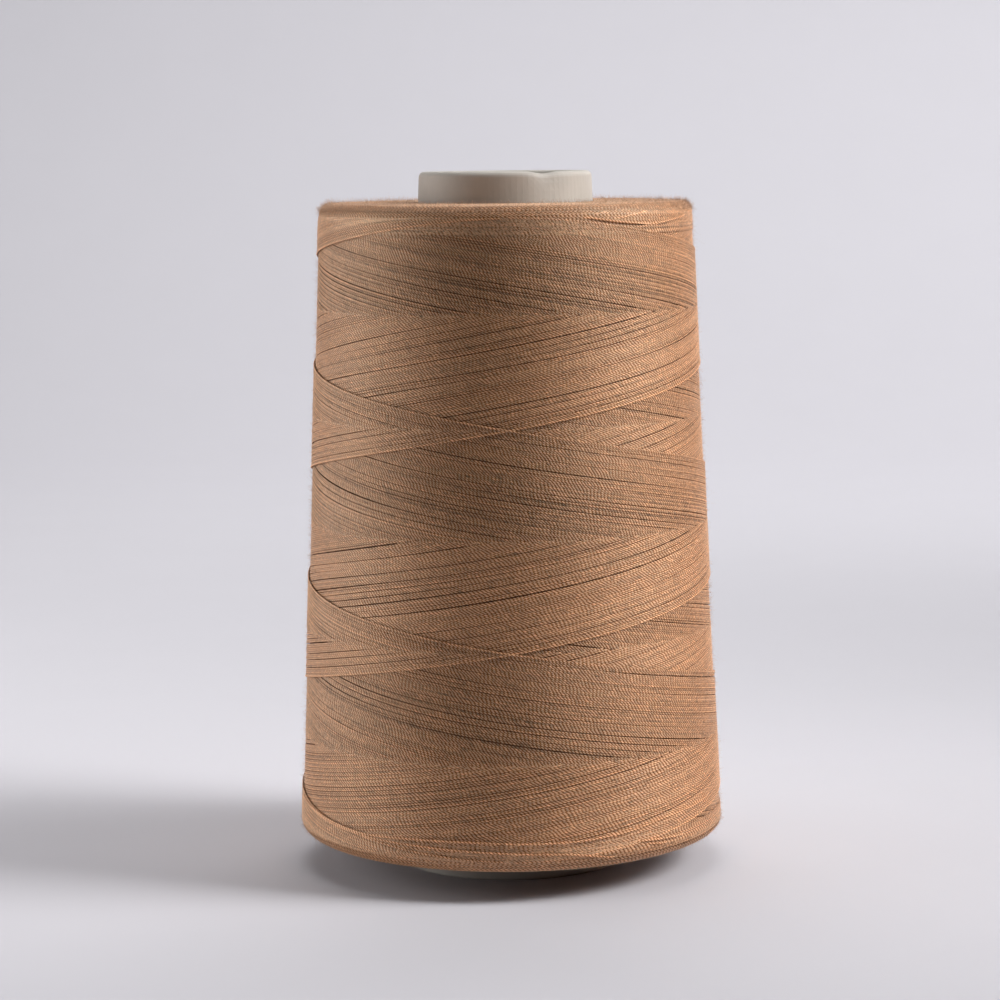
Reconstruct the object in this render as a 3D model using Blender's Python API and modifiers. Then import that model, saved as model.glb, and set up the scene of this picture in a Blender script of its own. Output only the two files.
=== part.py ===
"""Cone of thread: a tapered paper core with a cross-wound package of thread on it.

Metres, +Z up. The origin is the centre of the ring that the core stands on, and -Y is the front.
"""
import math

import bmesh
import bpy

MM = 0.001

# Core: a tapered paper tube, open at both ends
CORE_HEIGHT = 105.0 * MM
CORE_BASE_RADIUS = 17.3 * MM
CORE_TOP_RADIUS = 13.0 * MM
CORE_WALL = 1.6 * MM
CORE_FOOT_CHAMFER = 0.2 * MM
CORE_SEGMENTS = 96
RIM_ARC_STEPS = 8
SIDE_ROWS_UNDER_RIM = (0.8 * MM, 2.0 * MM, 3.6 * MM)     # rows that let the rim's dent fade out

# Dent in the front of the top rim
DENT_ANGLE = math.radians(27.0)         # from the front towards +X
DENT_HALF_WIDTH = math.radians(8.0)
DENT_DROP = 0.35 * MM
DENT_PUSH = 0.4 * MM
DENT_DEPTH_DOWN = 1.4 * MM              # how far below the rim the push has faded to a third

# Winding: the thread package, a ring that tapers with the core
WINDING_BOTTOM_Z = 4.5 * MM
WINDING_TOP_Z = 100.3 * MM
WINDING_BOTTOM_RADIUS = 32.35 * MM
WINDING_TOP_RADIUS = 28.1 * MM
SHOULDER_BOTTOM = 2.7 * MM              # radial width of the rounded shoulders
SHOULDER_TOP = 1.9 * MM
SHOULDER_ARC_STEPS = 4
SEAT_GAP = 0.3 * MM                     # between the winding's bore and the core

# Helical bands of the winding: a grid of rising and falling helices, with a step at each newest thread
TURNS_PER_TRAVERSE = 3
LINES_PER_TURN = 28                     # helices of each family that cross one turn's rise
COLUMNS = 2 * LINES_PER_TURN            # from column to column a helix then rises half a row
SHOULDER_ROWS = 2                       # rows of the grid that each shoulder takes the place of
LAYER_STEP = 0.25 * MM                  # thickness of one layer of thread, the height of each step
STEP_WIDTH = 0.2 * MM                   # rise over which a step drops
GROOVE_DEPTH = 0.17 * MM                # between two bundles of parallel threads
GROOVE_SPREAD = 0.4                     # how far the depth varies from groove to groove
GROOVE_BEAT = 2.4                       # radians of that variation from one line to the next
END_FADE = 5.0 * MM                     # the bands level out over this height at both ends

FOOT_SHARP_ANGLE = 40.0                 # degrees; edges sharper than this aren't shaded smooth
STEP_SHARP_ANGLE = 30.0

THREAD_COLOUR = (0.42, 0.20, 0.095)
THREAD_ROUGHNESS = 0.6
PAPER_COLOUR = (0.47, 0.42, 0.36)
PAPER_ROUGHNESS = 0.7


def remove_scene_objects():
    for old in list(bpy.data.objects):
        bpy.data.objects.remove(old, do_unlink=True)


def new_collection(name):
    collection = bpy.data.collections.new(name)
    bpy.context.scene.collection.children.link(collection)
    return collection


def new_material(name, colour, roughness):
    material = bpy.data.materials.new(name)
    material.use_nodes = True
    shader = material.node_tree.nodes["Principled BSDF"]
    shader.inputs["Base Color"].default_value = (*colour, 1.0)
    shader.inputs["Roughness"].default_value = roughness
    shader.inputs["Metallic"].default_value = 0.0
    return material


def core_radius(z):
    """Outer radius of the core at height z."""
    return CORE_BASE_RADIUS + (CORE_TOP_RADIUS - CORE_BASE_RADIUS) * z / CORE_HEIGHT


def winding_radius(z):
    """Mean outer radius of the winding at height z."""
    part = (z - WINDING_BOTTOM_Z) / (WINDING_TOP_Z - WINDING_BOTTOM_Z)
    return WINDING_BOTTOM_RADIUS + (WINDING_TOP_RADIUS - WINDING_BOTTOM_RADIUS) * part


def arc(centre, radii, start, end, steps):
    """Points of an elliptic arc in the profile plane, both ends included; angles in degrees."""
    points = []
    for i in range(steps + 1):
        angle = math.radians(start + (end - start) * i / steps)
        points.append((centre[0] + radii[0] * math.cos(angle), centre[1] + radii[1] * math.sin(angle)))
    return points


def core_profile():
    """Closed section of the tube wall: over the rim, down the outside, under the foot, up the inside."""
    rim = CORE_WALL / 2
    rim_z = CORE_HEIGHT - rim
    rim_centre = (core_radius(rim_z) - rim, rim_z)
    over_the_rim = arc(rim_centre, (rim, rim), 180.0, 0.0, RIM_ARC_STEPS)
    down = [(core_radius(rim_z - drop), rim_z - drop) for drop in SIDE_ROWS_UNDER_RIM]
    foot = [(core_radius(CORE_FOOT_CHAMFER), CORE_FOOT_CHAMFER),
            (core_radius(0.0) - CORE_FOOT_CHAMFER, 0.0),
            (core_radius(0.0) - CORE_WALL, 0.0)]
    up = [(core_radius(rim_z - drop) - CORE_WALL, rim_z - drop) for drop in reversed(SIDE_ROWS_UNDER_RIM)]
    return over_the_rim + down + foot + up


def row_height():
    """Height between two rows of the helical grid."""
    return (WINDING_TOP_Z - WINDING_BOTTOM_Z) / (TURNS_PER_TRAVERSE * LINES_PER_TURN)


def winding_profile():
    """Closed section of the package: down the outside with a point for each grid row, up the bore."""
    row = row_height()
    top_z = WINDING_TOP_Z - SHOULDER_ROWS * row
    bottom_z = WINDING_BOTTOM_Z + SHOULDER_ROWS * row
    top_shoulder = arc((winding_radius(top_z) - SHOULDER_TOP, top_z),
                       (SHOULDER_TOP, WINDING_TOP_Z - top_z), 90.0, 0.0, SHOULDER_ARC_STEPS)
    rows = round((top_z - bottom_z) / row)
    side = [(winding_radius(top_z - k * row), top_z - k * row) for k in range(1, rows)]
    bottom_shoulder = arc((winding_radius(bottom_z) - SHOULDER_BOTTOM, bottom_z),
                          (SHOULDER_BOTTOM, bottom_z - WINDING_BOTTOM_Z), 0.0, -90.0, SHOULDER_ARC_STEPS)
    bore = [(core_radius(z) + SEAT_GAP, z) for z in (WINDING_BOTTOM_Z, WINDING_TOP_Z)]
    return top_shoulder + side + bottom_shoulder + bore


def turned_object(name, profile, segments, collection, material):
    """A closed profile in the XZ plane, turned about Z with a Screw modifier and made a mesh."""
    section = bpy.data.meshes.new(name + "_section")
    edges = [(i, (i + 1) % len(profile)) for i in range(len(profile))]
    section.from_pydata([(x, 0.0, z) for x, z in profile], edges, [])
    section_object = bpy.data.objects.new(name + "_section", section)
    collection.objects.link(section_object)
    screw = section_object.modifiers.new("Turn", "SCREW")
    screw.axis = "Z"
    screw.angle = math.tau
    screw.steps = segments
    screw.render_steps = segments
    screw.use_merge_vertices = True
    screw.merge_threshold = 0.01 * MM
    evaluated = section_object.evaluated_get(bpy.context.evaluated_depsgraph_get())
    mesh = bpy.data.meshes.new_from_object(evaluated)
    mesh.name = name
    bpy.data.objects.remove(section_object, do_unlink=True)
    turned = bpy.data.objects.new(name, mesh)
    collection.objects.link(turned)
    mesh.materials.clear()
    mesh.materials.append(material)
    return turned


def angle_from_front(x, y):
    """Angle about Z, 0 at the front (-Y) and growing towards +X."""
    return math.atan2(x, -y)


def press_dent(core):
    """Push one spot of the rim down and in; the push fades along the rim and down the wall."""
    for vertex in core.data.vertices:
        x, y, z = vertex.co
        drop = CORE_HEIGHT - z
        away = angle_from_front(x, y) - DENT_ANGLE
        strength = math.exp(-(away / DENT_HALF_WIDTH) ** 2 - drop / DENT_DEPTH_DOWN)
        shrink = 1.0 - DENT_PUSH * strength / math.hypot(x, y)
        vertex.co = (x * shrink, y * shrink, z - DENT_DROP * strength)


def grid_vertices(winding):
    """The vertices between the shoulders on the outer face, each with its grid column."""
    row = row_height()
    found = []
    for vertex in winding.data.vertices:
        x, y, z = vertex.co
        from_end = min(z - WINDING_BOTTOM_Z, WINDING_TOP_Z - z)
        outside = math.hypot(x, y) > winding_radius(z) - SHOULDER_TOP / 2
        if outside and from_end > (SHOULDER_ROWS + 0.25) * row:
            found.append((vertex, round(angle_from_front(x, y) / math.tau * COLUMNS)))
    return found


def lift_odd_columns(winding):
    """Shift every second column up by half a row, so that the grid's edges run along both helices."""
    for vertex, column in grid_vertices(winding):
        if column % 2:
            vertex.co.z += row_height() / 2


def split_quads(part):
    """Split each face along its shorter diagonal, which is the one that follows a helix."""
    mesh = bmesh.new()
    mesh.from_mesh(part.data)
    bmesh.ops.triangulate(mesh, faces=mesh.faces[:], quad_method="SHORT_EDGE")
    mesh.to_mesh(part.data)
    mesh.free()


def groove_depth(line):
    """Every second helix lies in a groove between two bundles of threads, some deeper than others."""
    return (line % 2) * GROOVE_DEPTH * (1.0 + GROOVE_SPREAD * math.sin(GROOVE_BEAT * line))


def crossing(column, half_row):
    """Turn, rise (in turns) and relief of the grid point where a rising and a falling helix cross.

    Each family grows like a rolled sheet: the surface is highest at its newest thread, line 0, and
    lower by one layer just beyond it. The last line is drawn up to line 0 to make that step steep.
    """
    rising = (half_row - column) // 2
    falling = (half_row + column) // 2
    rising_age = rising % LINES_PER_TURN
    falling_age = -falling % LINES_PER_TURN
    groove = groove_depth(rising_age) if rising_age < falling_age else groove_depth(falling_age)
    pull = 1.0 - STEP_WIDTH / row_height()
    if rising_age == LINES_PER_TURN - 1:
        rising += pull
        rising_age += pull
    if falling_age == LINES_PER_TURN - 1:
        falling -= pull
        falling_age += pull
    turn = (falling - rising) / COLUMNS
    rise = (falling + rising) / COLUMNS
    relief = LAYER_STEP * (1.0 - (rising_age + falling_age) / LINES_PER_TURN) - groove
    return turn, rise, relief


def smooth_step(t):
    t = min(max(t, 0.0), 1.0)
    return t * t * (3.0 - 2.0 * t)


def raise_bands(winding):
    """Move each grid vertex to its crossing, out or in by the relief there."""
    lead = (WINDING_TOP_Z - WINDING_BOTTOM_Z) / TURNS_PER_TRAVERSE
    for vertex, column in grid_vertices(winding):
        half_row = round((vertex.co.z - WINDING_BOTTOM_Z) / (row_height() / 2))
        turn, rise, relief = crossing(column, half_row)
        z = WINDING_BOTTOM_Z + rise * lead
        from_shoulder = min(z - WINDING_BOTTOM_Z, WINDING_TOP_Z - z) - SHOULDER_ROWS * row_height()
        radius = winding_radius(z) + relief * smooth_step(from_shoulder / END_FADE)
        angle = turn * math.tau
        vertex.co = (radius * math.sin(angle), -radius * math.cos(angle), z)


def shade_round(part, sharp_angle):
    part.data.shade_smooth()
    part.data.set_sharp_from_angle(angle=math.radians(sharp_angle))


def build_core(collection):
    paper = new_material("core_paper", PAPER_COLOUR, PAPER_ROUGHNESS)
    core = turned_object("core", core_profile(), CORE_SEGMENTS, collection, paper)
    press_dent(core)
    shade_round(core, FOOT_SHARP_ANGLE)


def build_winding(collection):
    thread = new_material("thread", THREAD_COLOUR, THREAD_ROUGHNESS)
    winding = turned_object("winding", winding_profile(), COLUMNS, collection, thread)
    lift_odd_columns(winding)
    split_quads(winding)
    raise_bands(winding)
    shade_round(winding, STEP_SHARP_ANGLE)


def main():
    remove_scene_objects()
    collection = new_collection("cone_of_thread")
    build_core(collection)
    build_winding(collection)


main()
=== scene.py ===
"""Looks of the cone of thread: its outer threads one by one, the paper core, the floor and the studio light."""
import math

import bpy
import numpy as np
from mathutils import Matrix, Vector


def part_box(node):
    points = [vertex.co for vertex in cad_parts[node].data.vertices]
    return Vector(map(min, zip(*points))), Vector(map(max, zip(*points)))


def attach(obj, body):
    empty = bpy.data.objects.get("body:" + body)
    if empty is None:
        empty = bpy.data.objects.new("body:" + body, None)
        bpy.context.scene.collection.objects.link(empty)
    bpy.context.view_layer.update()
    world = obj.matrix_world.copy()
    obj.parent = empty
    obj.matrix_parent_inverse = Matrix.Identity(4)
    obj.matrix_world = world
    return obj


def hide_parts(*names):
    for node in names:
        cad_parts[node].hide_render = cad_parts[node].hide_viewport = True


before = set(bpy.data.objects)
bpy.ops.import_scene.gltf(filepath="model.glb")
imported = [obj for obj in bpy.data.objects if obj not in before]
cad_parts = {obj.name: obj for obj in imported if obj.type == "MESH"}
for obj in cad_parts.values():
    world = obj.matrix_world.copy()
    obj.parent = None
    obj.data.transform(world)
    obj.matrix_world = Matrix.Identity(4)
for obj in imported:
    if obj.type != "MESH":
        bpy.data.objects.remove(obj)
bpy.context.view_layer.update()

MM = 0.001
TAU = 2 * math.pi

# Package of thread, as the CAD winding: it tapers, and its shoulders are rounded
WINDING_LOW, WINDING_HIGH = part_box("winding")
CORE_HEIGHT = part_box("core")[1][2]
BOTTOM_Z = WINDING_LOW[2]
TOP_Z = WINDING_HIGH[2]
BOTTOM_RADIUS = 32.35 * MM
TOP_RADIUS = 28.1 * MM
SHOULDER_BOTTOM = 2.7 * MM
SHOULDER_TOP = 1.9 * MM
SHOULDER_HEIGHT = 2.28 * MM
CORE_BASE_RADIUS = 17.3 * MM
CORE_TOP_RADIUS = 13.0 * MM
CORE_CLEARANCE = 0.3 * MM
TURNS = 3                               # turns of a thread from one end of the package to the other
LEAD = (TOP_Z - BOTTOM_Z) / TURNS
LAYER_STEP = 0.25 * MM                  # from the newest thread of a family down to its oldest
END_FADE = 4 * MM                       # the steps run out over this height at both ends
NEAR = 0.02 * MM                        # how far apart two heights are read for the slope of the surface

# Threads
THREADS = 108                           # side by side in one lead, in each family
STEPS_PER_TURN = 144
THREAD_WIDTH = 0.295 * MM
RIDGE_DEPTH = 0.13 * MM                 # how far the creases lie below the crests of the plies
RIDGE_SLANT = 0.20 * MM                 # how far a crease leans along the thread, from its middle to its edge
PLY_RIDGES = 352                        # ply ridges along one turn of a thread
PLY_SHIFT = 0.45                        # in ridges, from a thread to the next one
RIDGE_TONE = 0.5                        # how much the tone differs from ridge to ridge
CREST_TONE = 0.55                       # and the tone of a crest from the rest of its ridge
RIDGE_RNG = np.random.default_rng(40)   # all threads draw from it, in the order in which they are made


def smooth_step(t):
    """0 up to t = 0, 1 from t = 1 and smooth between them."""
    t = np.clip(t, 0.0, 1.0)
    return t * t * (3.0 - 2.0 * t)


def wander(rng, rows, where, periods):
    """One slow random curve for each row: the mean of a few sines with random phases."""
    total = np.zeros((rows, len(where)))
    for period in periods:
        total += np.sin(TAU * where[None, :] / period + rng.uniform(0, TAU, (rows, 1)))
    return total / len(periods)


def outer_radius(z):
    """Radius of the package's mean surface at height z, shoulders included."""
    part = (z - BOTTOM_Z) / (TOP_Z - BOTTOM_Z)
    straight = BOTTOM_RADIUS + (TOP_RADIUS - BOTTOM_RADIUS) * part
    low = np.clip((BOTTOM_Z + SHOULDER_HEIGHT - z) / SHOULDER_HEIGHT, 0.0, 0.995)
    high = np.clip((z - TOP_Z + SHOULDER_HEIGHT) / SHOULDER_HEIGHT, 0.0, 0.995)
    straight = straight - SHOULDER_BOTTOM * (1.0 - np.sqrt(1.0 - low ** 2))
    return straight - SHOULDER_TOP * (1.0 - np.sqrt(1.0 - high ** 2))


def core_radius(z):
    """Outer radius of the core at height z."""
    return CORE_BASE_RADIUS + (CORE_TOP_RADIUS - CORE_BASE_RADIUS) * z / CORE_HEIGHT


def around(radius, angle, z):
    """Points, or directions, at this radius, angle and height; angle 0 faces the front."""
    return np.stack(np.broadcast_arrays(radius * np.sin(angle), -radius * np.cos(angle), z), axis=-1)


def outward(angle, z):
    """The package's normals at this angle and height."""
    lean = np.arctan((outer_radius(z - NEAR) - outer_radius(z + NEAR)) / (2 * NEAR))
    return around(np.cos(lean), angle, np.sin(lean))


def on_package(angle, z, level):
    """Points at this angle, height and level over the package's mean surface, and its normals there."""
    normal = outward(angle, z)
    return around(outer_radius(z), angle, z) + normal * level[..., None], normal


def mesh_object(name, points, faces, material, uv=None, tone=None):
    """A mesh object of triangles or quads, with a UV pair and a tone for each point."""
    mesh = bpy.data.meshes.new(name)
    mesh.vertices.add(len(points))
    mesh.vertices.foreach_set("co", points.astype(np.float32).ravel())
    mesh.loops.add(faces.size)
    mesh.loops.foreach_set("vertex_index", faces.astype(np.int32).ravel())
    mesh.polygons.add(len(faces))
    mesh.polygons.foreach_set("loop_start", np.arange(0, faces.size, faces.shape[1], dtype=np.int32))
    mesh.update(calc_edges=True)
    if uv is not None:
        layer = mesh.uv_layers.new(name="along")
        layer.data.foreach_set("uv", uv[faces.ravel()].astype(np.float32).ravel())
    if tone is not None:
        attribute = mesh.attributes.new("tone", "FLOAT", "POINT")
        attribute.data.foreach_set("value", tone.astype(np.float32))
    mesh.shade_smooth()
    mesh.materials.append(material)
    made = bpy.data.objects.new(name, mesh)
    bpy.context.scene.collection.objects.link(made)
    return made


def at_ridges(length, *rows):
    """The given rows read where the length along the thread is a whole or half number of ply ridges."""
    low = np.ceil(length.min(axis=1))
    count = int(np.floor(length.max(axis=1) - low).min()) * 2 + 1
    marks = low[:, None] + np.arange(count)[None, :] / 2
    found = []
    for row in rows:
        row = np.broadcast_to(row, length.shape)
        found.append(np.array([np.interp(mark, *((at, value) if at[0] < at[-1] else (at[::-1], value[::-1])))
                               for mark, at, value in zip(marks, length, row)]))
    return found


def plied(crest, normal, keep, tone):
    """Threads as rows of ply ridges, each a low slanted pyramid that is shaded smoothly like a pillow.

    crest and normal are threads x steps x 3; even steps are creases and odd ones the crests
    between them. keep marks the crests that are drawn. The UV runs along the thread in ridges
    and across it from edge to edge.
    """
    tangent = np.gradient(crest, axis=1)
    tangent /= np.linalg.norm(tangent, axis=2, keepdims=True)
    above = np.cross(normal, tangent)
    above /= np.linalg.norm(above, axis=2, keepdims=True)
    crease = slice(0, None, 2)
    middle = crest[:, crease] - normal[:, crease] * RIDGE_DEPTH
    lean = above[:, crease] * THREAD_WIDTH / 2 - tangent[:, crease] * RIDGE_SLANT
    low, high = middle - lean, middle + lean
    top = crest[:, 1::2]
    drawn = keep[:, 1::2]
    corners = np.stack([low[:, :-1], low[:, 1:], high[:, 1:], high[:, :-1], top], axis=2)[drawn]
    thread, ridge = np.nonzero(drawn)
    faces = 5 * np.arange(len(corners))[:, None, None] + np.array([(0, 1, 4), (1, 2, 4), (2, 3, 4), (3, 0, 4)])
    along = (ridge + 7.0 * thread)[:, None] + np.array([0.0, 1.0, 1.0, 0.0, 0.5])
    across = np.broadcast_to([0.0, 0.0, 1.0, 1.0, 0.5], along.shape)
    tones = tone[:, 1::2][drawn][:, None] + np.zeros(5)
    tones += RIDGE_RNG.normal(0.0, RIDGE_TONE, (len(corners), 1))
    tones[:, 4] += RIDGE_RNG.normal(0.0, CREST_TONE, len(corners))
    return (corners.reshape(-1, 3), faces.reshape(-1, 3), np.stack([along, across], axis=-1).reshape(-1, 2),
            tones.ravel())


def bundle_gaps(seed):
    """Extra room after each thread, in thread widths: wide after the last thread of each bundle."""
    rng = np.random.default_rng(seed)
    gaps = rng.normal(0.0, 0.03, THREADS)
    place = 3
    while place < THREADS - 2:
        gaps[place] += rng.uniform(0.26, 0.52)
        if rng.random() < 0.4:
            gaps[place + rng.choice([1, 2])] += rng.uniform(0.10, 0.30)
        place += rng.integers(3, 8)
    gaps[0] += 0.25
    return gaps


BUNDLE_GAPS = bundle_gaps(41)
GAP_LEAST = 0.12                        # a gap wider than this opens and closes along the thread
APEX_LIFT = 0.055                       # how far from the end a thread turns back, in leads
APEX_SPREAD = 0.008
APEX_ROUND = 0.08                       # how softly it turns back
PAIR_ROOM = 0.13                        # threads lie in pairs: how much nearer, in thread widths
PAIR_LEVEL = 0.015 * MM                 # and how much higher than its mate one of the two lies
# painted light and shade: the higher thread of a pair is painted lighter and the lower one darker
PAIR_PAINTED_LIGHT = 0.6
RISING_PAINTED_LIGHT = 0.35                      # painted light and shade: each family is painted lighter or darker for how its lay takes the light
FALLING_PAINTED_SHADE = -0.2
NEWEST_PAINTED_LIGHT = 1.2                       # painted highlight: the thread wound last lies free and is painted lighter for the light it catches
NEWEST_LEVEL = 0.06 * MM
TUCK = 0.03                             # how far a thread runs on under younger ones that cross it, in turns
DIVE_DEPTH = 0.27 * MM                  # and how deep it goes down there
DIVE_RUN = 2.5                          # over how many threads


def path_height(path, low_lift, high_lift):
    """Height in leads along the path: even in the middle, rounded where the thread turns back."""
    def bend(distance, lift):
        soft = np.sqrt(distance ** 2 + APEX_ROUND ** 2) - APEX_ROUND - distance
        return (lift + soft) * (1.0 - smooth_step(distance / 1.2))
    return path + bend(path, low_lift) - bend(TURNS - path, high_lift)


def turning_places(rng):
    """How far from each end the threads turn back: it drifts from thread to thread."""
    index = np.arange(THREADS)
    drift = wander(rng, 2, index, (THREADS, 37.0, 17.0, 9.0))
    return [APEX_LIFT + APEX_SPREAD * row[:, None] for row in drift]


def wound_threads(rising, seed):
    """One family of the outer threads, drawn only where no thread of the other family covers them.

    A thread's place in the family is its age: 0 is the newest and 1 the oldest. Where a thread of
    the other family crosses, the younger of the two is on top.
    """
    rng = np.random.default_rng(seed)
    path = np.linspace(0.0, TURNS, TURNS * STEPS_PER_TURN + 1)
    strength = np.clip(0.8 + 0.9 * wander(rng, THREADS, path, (2.3, 0.9, 0.41)), 0.0, 1.5)
    strength *= 0.35 + 0.65 * smooth_step(np.minimum(path, TURNS - path) / 0.9)
    room = 1.0 + np.where(BUNDLE_GAPS[:, None] > GAP_LEAST, BUNDLE_GAPS[:, None] * strength, BUNDLE_GAPS[:, None])
    room += 0.035 * wander(rng, THREADS, path, (0.7, 0.23))
    paired = np.clip(0.55 + 0.9 * wander(rng, 1, path, (1.3, 0.47)), 0.0, 1.0) * (-1.0) ** np.arange(THREADS)[:, None]
    room += PAIR_ROOM * paired
    place = np.cumsum(room, axis=0)
    age = (place - place[:1]) / (place[-1:] + room[:1] - place[:1])
    turn = path[None, :] - age if rising else -path[None, :] - age
    other = -(path[None, :] + turn) % 1.0 if rising else (path[None, :] - turn) % 1.0
    soft_side = other >= age - TUCK
    keep = soft_side | (other <= TUCK)
    level_other = np.where(soft_side, other, other + 1.0)
    dive = smooth_step((age - level_other) * THREADS / DIVE_RUN)
    low_lift, high_lift = turning_places(rng)
    height = path_height(path[None, :], low_lift, high_lift)
    z = BOTTOM_Z + height * LEAD
    from_end = np.minimum(height, TURNS - height) * LEAD
    level = LAYER_STEP * (1.0 - age - level_other) * smooth_step(from_end / END_FADE)
    level = level - DIVE_DEPTH * dive + 0.02 * MM * wander(rng, THREADS, path, (0.5, 0.17))
    level += PAIR_LEVEL * paired
    level[0] += NEWEST_LEVEL
    # random tone per thread, with painted light and shade on the pairs
    tone = rng.normal(0.0, 0.3, (THREADS, 1)) + PAIR_PAINTED_LIGHT * paired
    # painted highlight on the newest thread
    tone[0] += NEWEST_PAINTED_LIGHT
    # painted light and shade for each family's lay
    tone += RISING_PAINTED_LIGHT if rising else FALLING_PAINTED_SHADE
    shift = np.cumsum(rng.normal(PLY_SHIFT if rising else -PLY_SHIFT, 0.8, THREADS))
    length = turn * PLY_RIDGES + shift[:, None] + 0.7 * wander(rng, THREADS, path, (0.31, 0.12, 0.05))
    turn, z, level, shown, tone = at_ridges(length, turn, z, level, keep.astype(float), tone)
    crest, normal = on_package(turn * TAU, z, level)
    return plied(crest, normal, shown > 0.5, tone)


# Threads at the ends that were laid last, over the others: angle from the front in degrees, height in mm
LAST_LAID = (
    ((20.5, 98.7), (35.2, 97.8), (48.0, 97.3)),
    ((22.6, 98.6), (36.2, 99.7)),
    ((32.0, 98.1), (52.9, 99.6)),
    ((46.7, 97.2), (72.8, 98.5)),
    ((-82.0, 11.2), (-55.8, 9.5), (-42.3, 8.8), (-24.5, 9.2), (-8.8, 9.2), (8.0, 8.9), (18.4, 9.0), (33.1, 9.7),
     (43.5, 10.8), (55.0, 11.2), (68.6, 11.9)),
    ((-73.6, 10.5), (-55.8, 9.2), (-40.2, 8.5), (-24.5, 8.2), (-8.8, 7.8), (8.0, 7.4), (15.3, 7.2), (29.9, 5.9)),
    ((33.1, 8.0), (52.9, 7.4)),
    ((36.2, 7.4), (46.7, 6.8)),
)
LAID_STEPS = 200
LAID_SMOOTHING = 40                     # passes that round the corners of a course
LAID_LEVEL = 0.32 * MM
LAID_LIFT = 0.1 * MM
LAID_SINK = 0.4 * MM
LAID_END = 3.0 * MM                     # over how much of its length such a thread sinks among the others
# painted highlight: the laid threads are painted lighter for the light they catch over their neighbours
LAID_PAINTED_HIGHLIGHT = 2.0


def laid_threads(courses, seed):
    """Single threads that lie over their neighbours and sink among them at both ends."""
    rng = np.random.default_rng(seed)
    made = []
    for course in courses:
        angles = np.radians([corner[0] for corner in course])
        heights = np.array([corner[1] for corner in course]) * MM
        angle = np.linspace(angles[0], angles[-1], LAID_STEPS)
        z = np.interp(angle, angles, heights)
        for _ in range(LAID_SMOOTHING):
            z[1:-1] = (z[:-2] + 2 * z[1:-1] + z[2:]) / 4
        run = np.concatenate([[0.0], np.cumsum(np.hypot(np.diff(angle) * outer_radius(z[1:]), np.diff(z)))])
        level = LAID_LEVEL * smooth_step(np.minimum(z - BOTTOM_Z, TOP_Z - z) / END_FADE)
        from_end = np.minimum(run, run[-1] - run)
        level = level + LAID_LIFT - LAID_SINK * (1.0 - smooth_step(from_end / LAID_END))
        length = run[None, :] / (TAU * BOTTOM_RADIUS) * PLY_RIDGES + rng.uniform()
        rows = at_ridges(length, angle[None, :], z[None, :], level[None, :])
        crest, normal = on_package(*rows)
        # painted highlight all along the laid thread
        tone = np.full(rows[0].shape, LAID_PAINTED_HIGHLIGHT)
        made.append(plied(crest, normal, np.ones(rows[0].shape, bool), tone))
    points, faces, uv, tones = zip(*made)
    starts = np.cumsum([0] + [len(some) for some in points])
    faces = [some + start for some, start in zip(faces, starts)]
    return tuple(np.concatenate(parts) for parts in (points, faces, uv, tones))


def end_outline(top):
    """Points of the package's outline from a little up its side, round the shoulder, to the core."""
    end_z = TOP_Z if top else BOTTOM_Z
    inward = -1.0 if top else 1.0
    edge = outer_radius(np.array([end_z + inward * SHOULDER_HEIGHT]))[0]
    shoulder = SHOULDER_TOP if top else SHOULDER_BOTTOM
    side = [(outer_radius(np.array([end_z + inward * (SHOULDER_HEIGHT + d)]))[0],
             end_z + inward * (SHOULDER_HEIGHT + d)) for d in (2.0 * MM, 1.0 * MM)]
    arc = [(edge - shoulder * (1 - math.cos(a)), end_z + inward * SHOULDER_HEIGHT * (1 - math.sin(a)))
           for a in np.linspace(0, math.pi / 2, 12)]
    face = [(core_radius(end_z) + 0.35 * MM, end_z)]
    return np.array(side + arc + face)


RING_RIDGES = 290                       # ply ridges round one turn
RING_SPACING = 0.235 * MM
RING_SWING = 0.35 * MM                  # how far the turns wander to and fro
RING_WAVES = (1, 2, 3, 5)               # waves of that round one turn
RING_DRIFT = 0.16                       # how much a wave shifts from one turn to the next
RING_LIFT = 0.10 * MM                   # the turns past the package's side lie a little higher
RING_UNEVEN = 0.03 * MM


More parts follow.
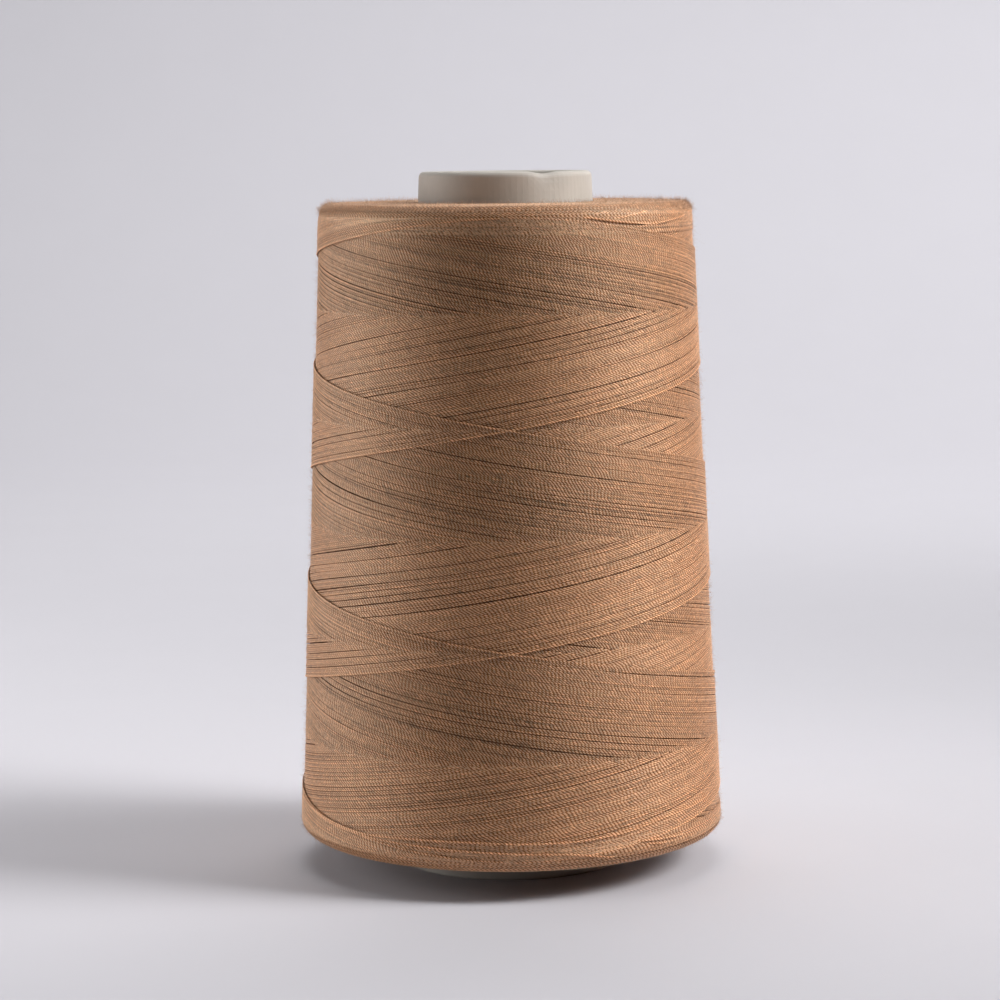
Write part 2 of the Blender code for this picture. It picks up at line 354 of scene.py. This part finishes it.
def end_rings(top, seed):
    """The threads that show on a shoulder and an end face: nearly round turns that cross a little."""
    rng = np.random.default_rng(seed)
    outline = end_outline(top)
    run = np.concatenate([[0.0], np.cumsum(np.linalg.norm(np.diff(outline, axis=0), axis=1))])
    count = int((run[-1] - 0.4 * MM) / RING_SPACING)
    turn = np.linspace(0.0, 1.0, 2 * RING_RIDGES + 1)
    place = (np.arange(count) + 0.5)[:, None] * RING_SPACING
    swing = RING_SWING * smooth_step(place / (3 * MM))
    angle = turn[None, :] * TAU + rng.uniform(0, TAU, (count, 1))
    ripple = np.zeros((count, len(turn)))
    for waves in RING_WAVES:
        phase = rng.uniform(0, TAU) + np.cumsum(rng.normal(0.0, RING_DRIFT, (count, 1)), axis=0)
        ripple += np.sin(waves * angle + phase) / waves
    place = np.clip(place + swing * ripple * 0.7, 0.05 * MM, run[-1] - 0.15 * MM)
    radius = np.interp(place, run, outline[:, 0])
    z = np.interp(place, run, outline[:, 1])
    ahead = np.minimum(place + 0.1 * MM, run[-1])
    behind = np.maximum(place - 0.1 * MM, 0.0)
    d_radius = np.interp(ahead, run, outline[:, 0]) - np.interp(behind, run, outline[:, 0])
    d_z = np.interp(ahead, run, outline[:, 1]) - np.interp(behind, run, outline[:, 1])
    size = np.hypot(d_radius, d_z)
    sign = 1.0 if top else -1.0
    normal = around(sign * d_z / size, angle, -sign * d_radius / size)
    level = RING_LIFT * smooth_step((place - 2.2 * MM) / (0.8 * MM))
    level = level + RING_UNEVEN * rng.uniform(-1, 1, (count, 1)) + RING_UNEVEN * np.sin(TAU * 3 * turn)[None, :]
    crest = around(radius, angle, z) + normal * level[..., None]
    tone = np.repeat(rng.normal(0.0, 0.4, (count, 1)), len(turn), axis=1)
    return plied(crest, normal, np.ones(radius.shape, bool), tone)


INNER_DEPTH = 0.33 * MM                 # the mass below starts this far under the outer threads
INNER_STEPS = 144


def package_body():
    """The closed mass of thread under the outer turns, seen only through the gaps between them."""
    def inset(outline, sign):
        return np.array([(r - INNER_DEPTH - LAYER_STEP * 0.6, z - sign * INNER_DEPTH) for r, z in outline[2:-1]])
    side_z = np.linspace(BOTTOM_Z + SHOULDER_HEIGHT, TOP_Z - SHOULDER_HEIGHT, 60)
    side = np.stack([outer_radius(side_z) - INNER_DEPTH - LAYER_STEP * 0.6, side_z], axis=1)
    bottom = inset(end_outline(False), -1.0)
    top = inset(end_outline(True), 1.0)
    bore_low = (core_radius(BOTTOM_Z) + CORE_CLEARANCE, bottom[-1, 1])
    bore_high = (core_radius(TOP_Z) + CORE_CLEARANCE, top[-1, 1])
    section = np.concatenate([[bore_low], bottom[::-1], side[1:-1], top, [bore_high]])
    turn = np.arange(INNER_STEPS) / INNER_STEPS * TAU
    points = around(section[None, :, 0], turn[:, None], section[None, :, 1])
    index = np.arange(INNER_STEPS * len(section)).reshape(INNER_STEPS, len(section))
    after = np.roll(index, -1, axis=0)
    quads = np.stack([index, after, np.roll(after, -1, axis=1), np.roll(index, -1, axis=1)], axis=-1)
    return points.reshape(-1, 3), quads.reshape(-1, 4)


FIBRE_ROOT = 0.1 * MM                   # how deep a fibre starts below the surface
TOP_FACE = (13.6, 27.0)                 # the fibres on the top face stand between these radii, in mm


def fuzz(count, seed, heights, top_share, lengths, width, steps, lift):
    """Stray fibres: thin ribbons that leave the surface and curl.

    A share of them stands on the top face and the others at the given heights. lift is the
    range of angles at which they leave the surface.
    """
    rng = np.random.default_rng(seed)
    z = rng.uniform(*heights, count)
    on_top = rng.random(count) < top_share
    top_radius = np.sqrt(rng.uniform(TOP_FACE[0] ** 2, TOP_FACE[1] ** 2, count)) * MM
    angle = rng.uniform(0, TAU, count)
    out = outward(angle, z)
    out[on_top] = (0.0, 0.0, 1.0)
    radius = np.where(on_top, top_radius, outer_radius(z))
    z = np.where(on_top, TOP_Z - 0.1 * MM, z)
    start = around(radius, angle, z) - out * FIBRE_ROOT
    side = np.stack([np.cos(angle), np.sin(angle), np.zeros(count)], axis=1)
    up = np.cross(side, out)
    heading = rng.uniform(0, TAU, count)
    flat = side * np.cos(heading)[:, None] + up * np.sin(heading)[:, None]
    rise = rng.uniform(*lift, count)
    direction = flat * np.cos(rise)[:, None] + out * np.sin(rise)[:, None]
    curl = rng.normal(0.0, 1.0, (count, 3))
    curl -= direction * (curl * direction).sum(axis=1, keepdims=True)
    curl /= np.linalg.norm(curl, axis=1, keepdims=True)
    length = rng.uniform(*lengths, count)[:, None]
    bend = rng.uniform(0.3, 1.6, count)[:, None, None]
    t = np.linspace(0, 1, steps + 1)[None, :, None]
    line = (start[:, None, :] + direction[:, None, :] * (np.sin(bend * t) / bend) * length[:, None]
            + curl[:, None, :] * ((1 - np.cos(bend * t)) / bend) * length[:, None])
    flank = np.cross(direction, rng.normal(0.0, 1.0, (count, 3)))
    flank /= np.linalg.norm(flank, axis=1, keepdims=True)
    half = flank[:, None, :] * width / 2 * (1.0 - 0.6 * t)
    points = np.stack([line - half, line + half], axis=2)
    index = np.arange(count * (steps + 1) * 2).reshape(count, steps + 1, 2)
    quads = np.stack([index[:, :-1, 0], index[:, 1:, 0], index[:, 1:, 1], index[:, :-1, 1]], axis=-1)
    return points.reshape(-1, 3), quads.reshape(-1, 4)


# Materials

THREAD_COLOUR = (0.55, 0.312, 0.175)    # crest of a ply ridge
# painted half-shade on the flanks of a ridge
FLANK_PAINTED_SHADE = (0.33, 0.112, 0.028)
CREASE_PAINTED_SHADE = (0.07, 0.013, 0.001)     # painted shade in the crease between two ridges
FLANK_AT = 0.62                         # where the flank's painted half-shade lies between crease and crest
CREST_GLOSS = (1.0, 0.78, 0.56)
# painted shade: the gloss dimmed in the creases and at the thread's edges
CREASE_GLOSS_PAINTED_SHADE = (0.10, 0.03, 0.01)
SHEEN_COLOUR = (1.0, 0.72, 0.50)
CREASE_SHADE_RANGE = (-0.10, 0.38)                  # where the painted shade of a crease starts to clear and is gone, in ply ridges
EDGE_SHADE_RANGE = (-0.22, 0.20)                    # the same for the painted shade at the thread's edge, in thread widths
TONE_SHARE = 0.28                       # how much each of these lightens the colour; the tone also carries painted light and shade
PATCH_SHARE = 0.35
FIBRE_SHARE = 0.5
LEAST_LIGHT = 0.62
# painted shade: the mass below the outer threads is painted dark brown for the shade in the gaps
INNER_PAINTED_SHADE = (0.13, 0.052, 0.023)
INNER_PAINTED_DARKER_SHADE = (0.05, 0.019, 0.008)
FIBRE_COLOUR = (0.62, 0.38, 0.23)
PAPER_COLOUR = (0.455, 0.42, 0.376)
FLOOR_COLOUR = (0.495, 0.485, 0.517)


class Look:
    """A node material, with the few nodes that these looks are made of."""

    def __init__(self, name):
        self.material = bpy.data.materials.new(name)
        self.material.use_nodes = True
        self.nodes = self.material.node_tree.nodes
        self.shader = self.nodes["Principled BSDF"]

    def join(self, value, socket):
        """Link an output to the socket, or set the socket to a plain value."""
        if isinstance(value, bpy.types.NodeSocket):
            self.material.node_tree.links.new(value, socket)
        else:
            socket.default_value = value

    def node(self, kind, inputs, **settings):
        made = self.nodes.new("ShaderNode" + kind)
        for name, value in settings.items():
            setattr(made, name, value)
        for name, value in inputs.items():
            self.join(value, made.inputs[name])
        return made

    def shade(self, **inputs):
        """Set inputs of the shader; an underscore stands for a space."""
        for name, value in inputs.items():
            self.join(value, self.shader.inputs[name.replace("_", " ")])

    def place(self):
        """Where a point of the object is, in metres."""
        return self.node("TexCoord", {}).outputs["Object"]

    def stretched(self, vector, scale):
        return self.node("Mapping", {"Vector": vector, "Scale": scale}).outputs[0]

    def noise(self, vector, scale, detail=2.0, roughness=0.5):
        return self.node("TexNoise", {"Vector": vector, "Scale": scale, "Detail": detail,
                                      "Roughness": roughness}).outputs[0]

    def sum_up(self, operation, first, second):
        return self.node("Math", {0: first, 1: second}, operation=operation).outputs[0]

    def eased(self, value, low, high):
        """0 below low, 1 above high and smooth between them."""
        return self.node("MapRange", {"Value": value, "From Min": low, "From Max": high},
                         interpolation_type="SMOOTHSTEP").outputs[0]

    def ramp(self, value, low, high, low_at=0.0, high_at=1.0, middle=None, middle_at=0.5):
        """A colour that runs from low to high with the value, over the middle one if there is one."""
        made = self.node("ValToRGB", {0: value})
        first, last = made.color_ramp.elements
        first.position, first.color = low_at, (*low, 1.0)
        last.position, last.color = high_at, (*high, 1.0)
        if middle is not None:
            made.color_ramp.elements.new(middle_at).color = (*middle, 1.0)
        return made.outputs[0]

    def bump(self, height, distance, strength=1.0):
        return self.node("Bump", {"Height": height, "Distance": distance, "Strength": strength}).outputs[0]


def shaded(colour, share):
    return tuple(share * part for part in colour)


def thread_material():
    """Plied thread: rounded ridges with painted shade in the creases and at the thread's edges, fibres along them, a
    soft gloss on the crests that is dimmed in the creases as painted shade.
    """
    look = Look("thread")
    uv = look.node("UVMap", {}, uv_map="along").outputs[0]
    split = look.node("SeparateXYZ", {0: uv})
    # painted shade in the creases between ridges and at the thread's edges: crest is 1 where neither darkens
    out_of_crease_shade = look.eased(look.sum_up("PINGPONG", split.outputs[0], 0.5), *CREASE_SHADE_RANGE)
    out_of_edge_shade = look.eased(look.sum_up("PINGPONG", split.outputs[1], 0.5), *EDGE_SHADE_RANGE)
    crest = look.sum_up("MULTIPLY", out_of_crease_shade, out_of_edge_shade)
    fibres = look.noise(look.stretched(uv, (1.0, 3.0, 1.0)), 5.0, 3.0)
    # the tone holds random tone and the painted light and shade of newest, laid and paired threads and of each family
    tone = look.node("Attribute", {}, attribute_name="tone").outputs["Fac"]
    patches = look.noise(look.place(), 90.0, 4.0)
    light = look.sum_up("MULTIPLY", tone, TONE_SHARE)
    light = look.sum_up("ADD", light, look.sum_up("MULTIPLY", patches, PATCH_SHARE))
    light = look.sum_up("ADD", light, look.sum_up("MULTIPLY", fibres, FIBRE_SHARE))
    light = look.sum_up("ADD", light, LEAST_LIGHT)
    # painted shade: the colour runs from the crease's shade over the flank's half-shade to the crest's own colour
    colour = look.ramp(crest, CREASE_PAINTED_SHADE, THREAD_COLOUR, middle=FLANK_PAINTED_SHADE, middle_at=FLANK_AT)
    lit = look.node("VectorMath", {0: colour, "Scale": light}, operation="SCALE").outputs[0]
    rough = look.node("MapRange", {"Value": crest, "To Min": 0.8, "To Max": 0.34}).outputs[0]
    # painted shade: the gloss is dimmed where the crest mask falls
    gloss = look.node("Mix", {"A": (*CREASE_GLOSS_PAINTED_SHADE, 1.0), "B": (*CREST_GLOSS, 1.0), "Factor": crest},
                      data_type="RGBA").outputs["Result"]
    look.shade(Base_Color=lit, Roughness=rough, Specular_Tint=gloss, IOR=1.78, Specular_IOR_Level=1.0,
               Sheen_Weight=0.04, Sheen_Roughness=0.45, Sheen_Tint=(*SHEEN_COLOUR, 1.0),
               Normal=look.bump(fibres, 0.03 * MM))
    return look.material


def inner_painted_shade_material():
    """The turns below, painted dark as the shade in the gaps, darker and lighter in bands that run round the package.
    """
    look = Look("inner_thread_painted_shade")
    turns = look.node("TexWave", {"Vector": look.place(), "Scale": 500.0, "Distortion": 1.5},
                      bands_direction="Z").outputs[0]
    look.shade(Base_Color=look.ramp(turns, INNER_PAINTED_DARKER_SHADE, INNER_PAINTED_SHADE), Roughness=0.9,
               Normal=look.bump(turns, 0.1 * MM))
    return look.material


def fibre_material():
    """Stray fibres, lighter and darker along their length."""
    look = Look("stray_fibre")
    noise = look.noise(look.place(), 700.0)
    look.shade(Base_Color=look.ramp(noise, shaded(FIBRE_COLOUR, 0.6), FIBRE_COLOUR), Roughness=0.5, Sheen_Weight=0.3)
    return look.material


def paper_material():
    """Grey-beige paper: faint mottling, fine fibres and a slight satin."""
    look = Look("core_paper_look")
    place = look.place()
    mottle = look.noise(place, 120.0, 6.0, 0.6)
    grain = look.noise(look.stretched(place, (1.0, 1.0, 0.35)), 900.0, 5.0)
    look.shade(Base_Color=look.ramp(mottle, shaded(PAPER_COLOUR, 0.88), shaded(PAPER_COLOUR, 1.06), 0.3, 0.7),
               Roughness=0.55, Specular_IOR_Level=0.35, Normal=look.bump(grain, 0.05 * MM, 0.6))
    return look.material


def floor_material():
    """Pale matt paper, nearly even."""
    look = Look("floor_paper")
    noise = look.noise(look.place(), 40.0, 8.0)
    look.shade(Base_Color=look.ramp(noise, shaded(FLOOR_COLOUR, 0.985), shaded(FLOOR_COLOUR, 1.01)),
               Roughness=0.8, Specular_IOR_Level=0.2)
    return look.material


# The object

PIECE_FACES = 190000                    # more faces than this are shared out over several pieces


def add_piece(name, parts, material):
    """A piece that stands for the CAD winding and rides with it."""
    piece = mesh_object(name, *parts[:2], material, *parts[2:])
    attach(piece, "root")
    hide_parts("winding")
    return piece


thread_look = thread_material()
for name, parts in (("rising_threads", wound_threads(True, 7)), ("falling_threads", wound_threads(False, 8)),
                    ("top_turns", end_rings(True, 9)), ("bottom_turns", end_rings(False, 10)),
                    ("laid_threads", laid_threads(LAST_LAID, 13))):
    points, faces, uv, tones = parts
    pieces = math.ceil(len(faces) / PIECE_FACES)
    for k in range(pieces):
        some = faces[k * len(faces) // pieces:(k + 1) * len(faces) // pieces]
        used, some = np.unique(some, return_inverse=True)
        add_piece("%s_%d" % (name, k + 1), (points[used], some.reshape(-1, 3), uv[used], tones[used]), thread_look)
# the mass below, in painted shade
add_piece("inner_turns", package_body(), inner_painted_shade_material())

WALL = (BOTTOM_Z + 0.4 * MM, TOP_Z - 0.3 * MM)
TOP_SHOULDER = (TOP_Z - 1.1 * MM, TOP_Z - 0.02 * MM)
FOOT_SHOULDER = (BOTTOM_Z + 0.05 * MM, BOTTOM_Z + 2.4 * MM)
# Name, count, seed, heights, share on the top face, lengths, width, steps, angles off the surface
FIBRES = (
    ("short_fibres", 38000, 11, WALL, 0.12, (0.25 * MM, 0.95 * MM), 0.024 * MM, 2, (0.4, 1.45)),
    ("top_fibres", 22000, 14, TOP_SHOULDER, 0.35, (0.3 * MM, 1.3 * MM), 0.022 * MM, 2, (0.4, 1.4)),
    ("foot_fibres", 5000, 15, FOOT_SHOULDER, 0.0, (0.3 * MM, 0.9 * MM), 0.020 * MM, 2, (0.4, 1.4)),
    ("long_fibres", 2500, 12, WALL, 0.12, (0.9 * MM, 2.6 * MM), 0.014 * MM, 5, (0.1, 0.6)),
)
fibre_look = fibre_material()
for name, *values in FIBRES:
    add_piece(name, fuzz(*values), fibre_look)

paper = paper_material()
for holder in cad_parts["core"].material_slots:
    holder.material = paper

# Stage, light and camera

FLOOR_FRONT = -1.2
FLOOR_BACK = 0.55
SWEEP_RADIUS = 0.35
SWEEP_STEPS = 24
WALL_TOP = 1.6
HALF_WIDTH = 2.2
# Name, place, aim, width and height, power in watts, spread in degrees
LIGHTS = (
    ("key", (0.480, -0.117, 0.372), (0.0, 0.0, 0.02), (0.2, 0.2), 0.215, 43.0),
    ("key_above", (0.480, -0.104, 0.53), (0.0, 0.0, 0.02), (0.25, 0.25), 0.20, 52.0),
    ("left_low", (-0.32, 0.0, 0.085), (0.0, 0.0, 0.03), (0.4, 0.15), 0.57, 180.0),
    ("left_high", (-0.373, 0.033, 0.221), (0.0, 0.0, 0.03), (0.4, 0.25), 0.36, 180.0),
    ("front_top", (0.0, -0.15, 0.9), (0.0, -0.15, 0.0), (0.5, 0.3), 0.11, 40.0),
    ("back_top", (0.0, 0.5, 0.9), (0.0, 0.1, 0.0), (0.8, 0.4), 0.65, 80.0),
    ("backdrop_right", (1.1, 0.1, 0.5), (0.35, 0.9, 0.15), (0.4, 0.4), 4.8, 120.0),
    ("backdrop_middle", (0.0, 0.5, 1.0), (0.0, 0.78, 0.05), (1.2, 0.3), 4.0, 100.0),
    ("backdrop_foot", (0.6, 0.4, 0.8), (0.6, 0.36, 0.0), (1.6, 0.1), 0.47, 50.0),
)
CAMERA_PLACE = (-1.277 * MM, -455.63 * MM, 108.74 * MM)
CAMERA_LENS = 108.21                    # mm, on a sensor 36 mm wide
CAMERA_DOWN = 0.11723                   # below level, in radians
CAMERA_ROLL = -0.01061


def add_sweep():
    """A floor that curves up into the wall behind."""
    outline = [(FLOOR_FRONT, 0.0), (0.0, 0.0), (FLOOR_BACK, 0.0)]
    for a in np.linspace(0, math.pi / 2, SWEEP_STEPS)[1:]:
        outline.append((FLOOR_BACK + SWEEP_RADIUS * math.sin(a), SWEEP_RADIUS * (1 - math.cos(a))))
    outline.append((FLOOR_BACK + SWEEP_RADIUS, WALL_TOP))
    points = np.array([(x, y, z) for x in (-HALF_WIDTH, HALF_WIDTH) for y, z in outline])
    n = len(outline)
    quads = np.array([(i, n + i, n + i + 1, i + 1) for i in range(n - 1)])
    floor = mesh_object("floor", points, quads, floor_material())


def add_light(name, place, aim, size, power, spread):
    """A soft box at one place that faces another; a small spread keeps its light in a narrower beam."""
    lamp = bpy.data.lights.new(name, "AREA")
    lamp.shape = "RECTANGLE"
    lamp.size, lamp.size_y = size
    lamp.energy = power
    lamp.spread = math.radians(spread)
    light = bpy.data.objects.new(name, lamp)
    light.visible_camera = False
    bpy.context.scene.collection.objects.link(light)
    light.location = place
    light.rotation_euler = (Vector(aim) - Vector(place)).to_track_quat("-Z", "Y").to_euler()


def add_dark_room():
    """Nothing but the soft boxes lights the scene."""
    world = bpy.data.worlds.new("studio")
    bpy.context.scene.world = world
    world.use_nodes = True
    world.node_tree.nodes["Background"].inputs["Strength"].default_value = 0.0


def add_camera():
    """The camera at the photo's angle: in front of the cone, a little above its rim, looking slightly down."""
    data = bpy.data.cameras.new("camera")
    data.sensor_width = 36.0
    data.lens = CAMERA_LENS
    camera = bpy.data.objects.new("camera", data)
    bpy.context.scene.collection.objects.link(camera)
    camera.location = CAMERA_PLACE
    camera.rotation_mode = "XYZ"
    tilt = Matrix.Rotation(math.pi / 2 - CAMERA_DOWN, 4, "X")
    roll = Matrix.Rotation(CAMERA_ROLL, 4, "Z")
    camera.rotation_euler = (tilt @ roll).to_euler()
    bpy.context.scene.camera = camera


add_sweep()
for light in LIGHTS:
    add_light(*light)
add_dark_room()
add_camera()
bpy.context.scene.view_settings.view_transform = "Standard"
